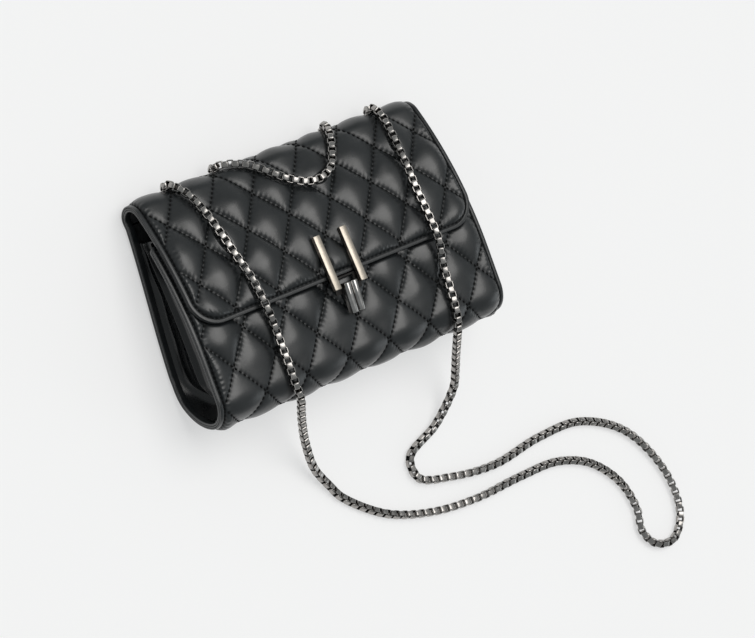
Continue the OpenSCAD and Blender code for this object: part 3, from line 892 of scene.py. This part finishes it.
def seam_stitches(panel):
    """Ends of every stitch on the quilting's seams."""
    free_s, far_s, half_at, corner, _ = panel
    first, last = SEAM_LINES
    pairs = []
    for line in range(first, last):
        for k in range(first * STITCHES_A_SIDE, last * STITCHES_A_SIDE):
            middle, reach = (k + 0.5) / STITCHES_A_SIDE, STITCH_LONG / 2 / PAD_SIDE
            pairs.append(((line, middle - reach), (line, middle + reach)))
            pairs.append(((middle - reach, line), (middle + reach, line)))
    ends = np.array(pairs, float)
    x, s = from_lattice(ends[:, :, 0], ends[:, :, 1])
    low, high = min(free_s, far_s), max(free_s, far_s)
    mean_x, mean_s = x.mean(1), s.mean(1)
    edge = edge_distance(mean_x, mean_s, free_s, half_at(mean_s), corner)[0]
    keep = (mean_s > low) & (mean_s <= high) & (np.abs(mean_x) < half_at(mean_s)) & (edge > RIM_W + 0.9)
    return x[keep], s[keep]


def edge_stitches(panel):
    """Ends of every stitch along the rims."""
    free_s, far_s, half_at, corner, _ = panel
    sign = 1 if far_s > free_s else -1
    m = np.arange(abs(far_s - free_s), corner, -1.0)
    inner = max(corner - RIM_W, 0.01)
    half = half_at(free_s + sign * m) - RIM_W
    turn = np.linspace(0, math.pi / 2, 20)
    corner_half = float(half_at(free_s)) - corner
    start = max(corner, RIM_W)
    line = [(-h, d) for h, d in zip(half, m) if d > start]
    line += [(-(corner_half + inner * math.cos(t)), start - inner * math.sin(t)) for t in turn]
    line = np.array(line)
    line = np.concatenate([line, (line * [-1, 1])[::-1]])
    run = np.concatenate([[0], np.cumsum(np.linalg.norm(np.diff(line, axis=0), axis=1))])
    at = np.arange(EDGE_STITCH, run[-1] - EDGE_STITCH, EDGE_STITCH)
    at = np.stack([at - STITCH_LONG / 2, at + STITCH_LONG / 2], -1)
    return np.interp(at, run, line[:, 0]), free_s + sign * np.interp(at, run, line[:, 1])


def stitch_lines():
    for name, panel in (("flap", FLAP), ("body", BODY)):
        sets = [seam_stitches(panel), edge_stitches(panel)]
        x, s = (np.concatenate([v[k] for v in sets]) for k in (0, 1))
        points, normals = leather_point(x, s, panel, STITCH_LIFT)
        clear = from_eyelet(points[:, 0])[0] > EYELET_FLANGE + 1
        points, normals = points[clear], normals[clear]
        mesh = capsules(points[:, 0], points[:, 1], normals[:, 0], STITCH_WIDE)
        obj = piece(name + "_stitches", *mesh, "thread", "outer_leather")
        if name == "flap":
            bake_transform(obj)
        else:
            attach(obj, "root")


def lining_mesh(s, half_at, depth, thick=0.4):
    """A thin twill sheet under the leather, with a face on both sides."""
    x = np.linspace(-1, 1, 60)[None, :] * half_at(s)[:, None]
    ss = np.broadcast_to(s[:, None], x.shape)
    over, _ = on_section(x, ss, np.full(x.shape, -depth))
    under, _ = on_section(x, ss, np.full(x.shape, -depth - thick))
    rows, cols = x.shape
    points = np.concatenate([over.reshape(-1, 3), under.reshape(-1, 3)])
    top = [f for f in grid_faces(rows, cols) if not in_eyelet(over.reshape(-1, 3)[f].mean(0))]
    edges = [(a, b) for f in top for a, b in zip(f, f[1:] + f[:1])]
    both = set(edges)
    border = [(a, b) for a, b in edges if (b, a) not in both]
    step = rows * cols
    faces = top + [[i + step for i in f[::-1]] for f in top]
    faces += [[b, a, a + step, b + step] for a, b in border]
    return points, faces


FLAP_LINING_DEPTH = 3.95
BODY_LINING_DEPTH = 4.05


def flap_lining_half(s):
    """Half the flap lining's width, which narrows to the flap's round corners."""
    return flap_half(s) - 4 - 13 * (1 - smoothstep(s / 15))


def linings():
    s = np.arange(1.6, S_BACK, 1.5)
    points, faces = lining_mesh(s, flap_lining_half, FLAP_LINING_DEPTH)
    flap = piece("flap_lining_sheet", points, faces, "lining", "lining")
    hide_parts("flap_lining")
    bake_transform(flap)
    s = np.arange(S_BACK + 0.5, S_MOUTH - 1, 1.5)
    points, faces = lining_mesh(s, lambda v: body_half(v) - 4.2, BODY_LINING_DEPTH)
    body = piece("compartment_lining", points, faces, "lining", "lining")
    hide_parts("body_lining")
    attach(body, "root")


# ---- gussets ----
GUSSET_X = 96.6
GUSSET_DEPTH = 4.5
GUSSET_TOP = 41.5
GUSSET_T = 1.1
BACK_HALF_FOLD = [(0, 0), (0.05, 3.0), (0.2, 4.6), (0.55, 5.0), (0.86, 3.4), (0.97, 1.9), (1, 1.3)]
FRONT_HALF_FOLD = [(0, 1.3), (0.02, 1.9), (0.1, 4.2), (0.3, 5.4), (0.65, 5.2), (0.9, 4.0), (0.97, 3.0),
                   (1, 0)]


def inner_line(low, high):
    """Y and Z of the leather's inner face between two places on the section."""
    s = np.linspace(low, high, 400)
    points, _ = on_section(0 * s, s, np.full(s.shape, -GUSSET_DEPTH))
    return points[:, 1], points[:, 2]


def gusset_mesh(sign):
    """A side gusset folded in at its crease, with a hem along its top and a second face inside."""
    back_y, back_z = inner_line(S_BACK, S_BASE)
    front_y, front_z = inner_line(S_BASE, S_MOUTH)
    bottom = back_y.min() + 0.15
    y = bottom + (GUSSET_TOP - bottom) * np.linspace(0, 1, 90) ** 1.25
    low = np.interp(y, back_y[::-1], back_z[::-1])
    high = np.interp(np.minimum(y, front_y.max()), front_y, front_z)
    u = np.linspace(0, 1, 26)
    back_fold = np.interp(u, *np.array(BACK_HALF_FOLD).T)
    front_u = np.unique(np.concatenate([np.linspace(0, 1, 18), [0.01, 0.02, 0.04, 0.08, 0.1, 0.97]]))
    front_fold = np.interp(front_u, *np.array(FRONT_HALF_FOLD).T)
    height = (y - bottom) / (GUSSET_TOP - bottom)
    merge = 1 - smoothstep((y + 56) / 17)
    crease = (0.54 - 0.12 * height) * (1 - merge) + merge
    wave = 0.5 * np.sin(y * 0.11 + 1) + 0.35 * np.sin(y * 0.23 + sign)
    deep = 1 + 1.9 * merge
    past_crease = crease[:, None] + front_u[None, 1:] * (1 - crease[:, None])
    t = np.concatenate([u[None] * crease[:, None], past_crease], 1)
    depth_back = back_fold[None] * deep[:, None] + wave[:, None] * np.sin(np.pi * u)[None]
    depth_back[:, -1] = back_fold[-1] * (1 - merge)
    near_crease = (1 - merge)[:, None]
    front_wave = wave[:, None] * np.sin(np.pi * front_u[1:])[None] * near_crease
    depth_front = front_fold[None, 1:] * near_crease - front_wave
    depth = np.concatenate([depth_back, depth_front], 1)
    shut = smoothstep((y - bottom) / 7)[:, None]
    depth = depth * (0.25 + 0.75 * shut)
    z = low[:, None] + (high - low)[:, None] * t
    hem = 0.5 * smoothstep((y - GUSSET_TOP + 4.2) / 0.8)[:, None]
    outer = np.stack([GUSSET_X - depth + hem, np.broadcast_to(y[:, None], depth.shape), z], -1)
    roll = []
    for turn in np.radians([30, 60, 90, 120, 150, 180]):
        ring = outer[-1].copy()
        ring[:, 0] -= GUSSET_T * (1 - math.cos(turn)) / 2 + hem[-1] * (1 - math.cos(turn)) / 2
        ring[:, 1] += GUSSET_T / 2 * math.sin(turn)
        roll.append(ring)
    inner = outer[::-1].copy()
    inner[:, :, 0] -= GUSSET_T + hem[::-1]
    rows = np.concatenate([outer, np.stack(roll), inner[1:]])
    rows[..., 0] *= sign
    return rows.reshape(-1, 3), grid_faces(rows.shape[0], rows.shape[1], flip=sign > 0)


def gussets():
    for side, sign in (("left", -1), ("right", 1)):
        obj = piece(side + "_gusset_fold", *gusset_mesh(sign), "smooth", "gusset_leather")
        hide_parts(side + "_gusset")
        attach(obj, "root")


# ---- the lock, the trim bars and the eyelets ----
def swept(sections):
    """A solid through equal outlines, with a flat face at each end."""
    points = np.array(sections)
    stations, count = points.shape[:2]
    faces = grid_faces(stations, count, flip=True, closed=True)
    faces += [list(range(count)), [(stations - 1) * count + k for k in range(count)][::-1]]
    return points.reshape(-1, 3), faces


def bevelled_bar(length, width, thick, bevel, crown=0.0, steps=3):
    """A bar with its long edges and its ends softly bevelled, lying along Y with its crowned top up."""
    turns = np.radians(np.linspace(0, 90, steps + 1))
    outline = []
    for k in range(4):
        cx = (width / 2 - bevel) * (1, -1, -1, 1)[k]
        cz = (thick / 2 - bevel) * (1, 1, -1, -1)[k] - (crown if k < 2 else 0)
        outline += [(cx, cz, math.cos(a + k * math.pi / 2), math.sin(a + k * math.pi / 2)) for a in turns]
        if k == 0:
            outline += [(u * cx, thick / 2 - bevel - crown * u * u, 0, 1) for u in np.linspace(0.8, -0.8, 9)]
    ends = [(length / 2 - bevel + bevel * math.sin(a), bevel * math.cos(a)) for a in turns]
    stations = [(-y, r) for y, r in ends[::-1]] + ends
    return swept([[(cx + r * nx, y, cz + r * nz) for cx, cz, nx, nz in outline] for y, r in stations])


def round_topped_bar(length, width, low, high, bevel, sides=13):
    """A bar with flat sides and a rounded top, lying along Y."""
    half = width / 2
    crown = [(half * math.cos(a), high - half + half * math.sin(a))
             for a in np.linspace(0, math.pi, sides)]
    outline = np.array([(half, low)] + crown + [(-half, low)])
    middle = np.array([0, (low + high) / 2])
    stations = []
    for a in np.radians([90, 60, 30, 0]):
        stations.append((-(length / 2 - bevel + bevel * math.sin(a)), 1 - bevel * (1 - math.cos(a)) / half))
    stations += [(-y, k) for y, k in stations[::-1]]
    return swept([[(q[0], y, q[1]) for q in middle + (outline - middle) * k] for y, k in stations])


def lock():
    tilt = np.array([[1, 0, 0], [0, math.cos(BAR_SLOPE), math.sin(BAR_SLOPE)],
                     [0, -math.sin(BAR_SLOPE), math.cos(BAR_SLOPE)]])
    for side in ("left", "right"):
        points, faces = bevelled_bar(BAR_LEN, BAR_W, BAR_T, 0.4, crown=0.22)
        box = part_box(side + "_lock_bar")
        middle = (box[0] + box[1]) / 2 / MM
        points = points @ tilt.T + np.array(middle)
        bar = piece(side + "_trim_bar", points, faces, "champagne", "champagne_metal")
        bar.data.set_sharp_from_angle(angle=math.radians(28))
        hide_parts(side + "_lock_bar")
        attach(bar, "flap")
    low, high = KNOB_BOX
    length = high.y - low.y
    width = (high.x - low.x) / 2 - 0.06
    core_top = low.z + (high.z - low.z) * 0.45
    parts = []
    for sign in (-1, 1):
        points, faces = round_topped_bar(length, width, low.z, high.z, 0.45)
        parts.append((points + [sign * (width / 2 + 0.06), (low.y + high.y) / 2, 0], faces))
    points, faces = bevelled_bar(length - 1.2, 2.0, core_top - low.z, 0.2)
    parts.append((points + [0, (low.y + high.y) / 2, (core_top + low.z) / 2], faces))
    knob = piece("turn_knob_bars", *joined(parts), "gunmetal", "gunmetal")
    knob.data.set_sharp_from_angle(angle=math.radians(32))
    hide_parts("turn_knob")
    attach(knob, "turn_knob")


def eyelets():
    """Pressed rings whose flanges roll over the leather, with barrels through it."""
    profile = [(EYELET_FLANGE, 0.0), (EYELET_FLANGE + 0.1, 0.25), (EYELET_FLANGE - 0.15, 0.5),
               (EYELET_FLANGE - 0.7, 0.72), (4.5, 0.72), (4.1, 0.5), (EYELET_BORE, 0.1), (EYELET_BORE, -4.8),
               (4.45, -4.8), (4.45, -0.1)]
    side = np.array([1.0, 0, 0])
    up = np.cross(EYELET_AXIS, side)
    around = np.linspace(0, 2 * math.pi, 48, endpoint=False)
    parts = []
    for place in EYELET_PLACES:
        rings = [[place + r * (math.cos(a) * side + math.sin(a) * up) + h * EYELET_AXIS for a in around]
                 for r, h in profile]
        rings.append(rings[0])
        parts.append((np.array(rings), grid_faces(len(rings), len(around), closed=True, flip=True)))
    obj = piece("eyelet_rings", *joined(parts), "gunmetal", "gunmetal")
    obj.data.set_sharp_from_angle(angle=math.radians(40))
    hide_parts("eyelets")
    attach(obj, "root")


# ---- finishes of the frame's own parts ----
FINISHES = {
    "front_board": "board", "back_board": "board", "flap_board": "board", "eyelet_washers": "dark",
    "turn_lock_base": "gunmetal", "turn_lock_washer": "dark", "turn_lock_spring": "spring",
    "knob_spindle": "gunmetal", "spindle_clip": "spring", "lock_bar_studs": "champagne", "lock_plate": "dark",
}


def finish_frame_parts():
    for name, material in FINISHES.items():
        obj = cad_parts[name]
        obj.data.materials.clear()
        obj.data.materials.append(M[material])


# ---- table top and light ----
ROOM_LIGHT = 0.36
TABLE_HALF = 6000
# Name, direction, strength, width in degrees and colour of each soft light
LIGHTS = [("overhead", (0.12, 0.3, 0.946), 1.3, 44, (1.0, 0.98, 0.955)),
          ("wide", (0.3, 0.25, 0.92), 0.3, 75, (1.0, 0.99, 0.98)),
          ("side", (0.82, -0.47, 0.32), 0.22, 30, (0.92, 0.97, 1.0))]


def soft_light(name, direction, energy, width, colour):
    data = bpy.data.lights.new(name, "SUN")
    data.energy = energy
    data.angle = math.radians(width)
    data.color = colour
    obj = bpy.data.objects.new(name, data)
    obj.rotation_euler = Vector(direction).to_track_quat("Z", "Y").to_euler()
    bpy.context.scene.collection.objects.link(obj)


def set_dressing():
    half = TABLE_HALF
    floor = piece("table_top", [(-half, -half, 0), (half, -half, 0), (half, half, 0), (-half, half, 0)],
                  [(0, 1, 2, 3)], "floor", "board")
    world = bpy.data.worlds.new("room")
    world.use_nodes = True
    background = world.node_tree.nodes["Background"]
    background.inputs["Color"].default_value = (0.93, 0.985, 1, 1)
    background.inputs["Strength"].default_value = ROOM_LIGHT
    bpy.context.scene.world = world
    for light in LIGHTS:
        soft_light(*light)
    bpy.context.scene.view_settings.view_transform = "Standard"


camera()
chain()
quilts()
stitch_lines()
linings()
gussets()
lock()
eyelets()
finish_frame_parts()
set_dressing()
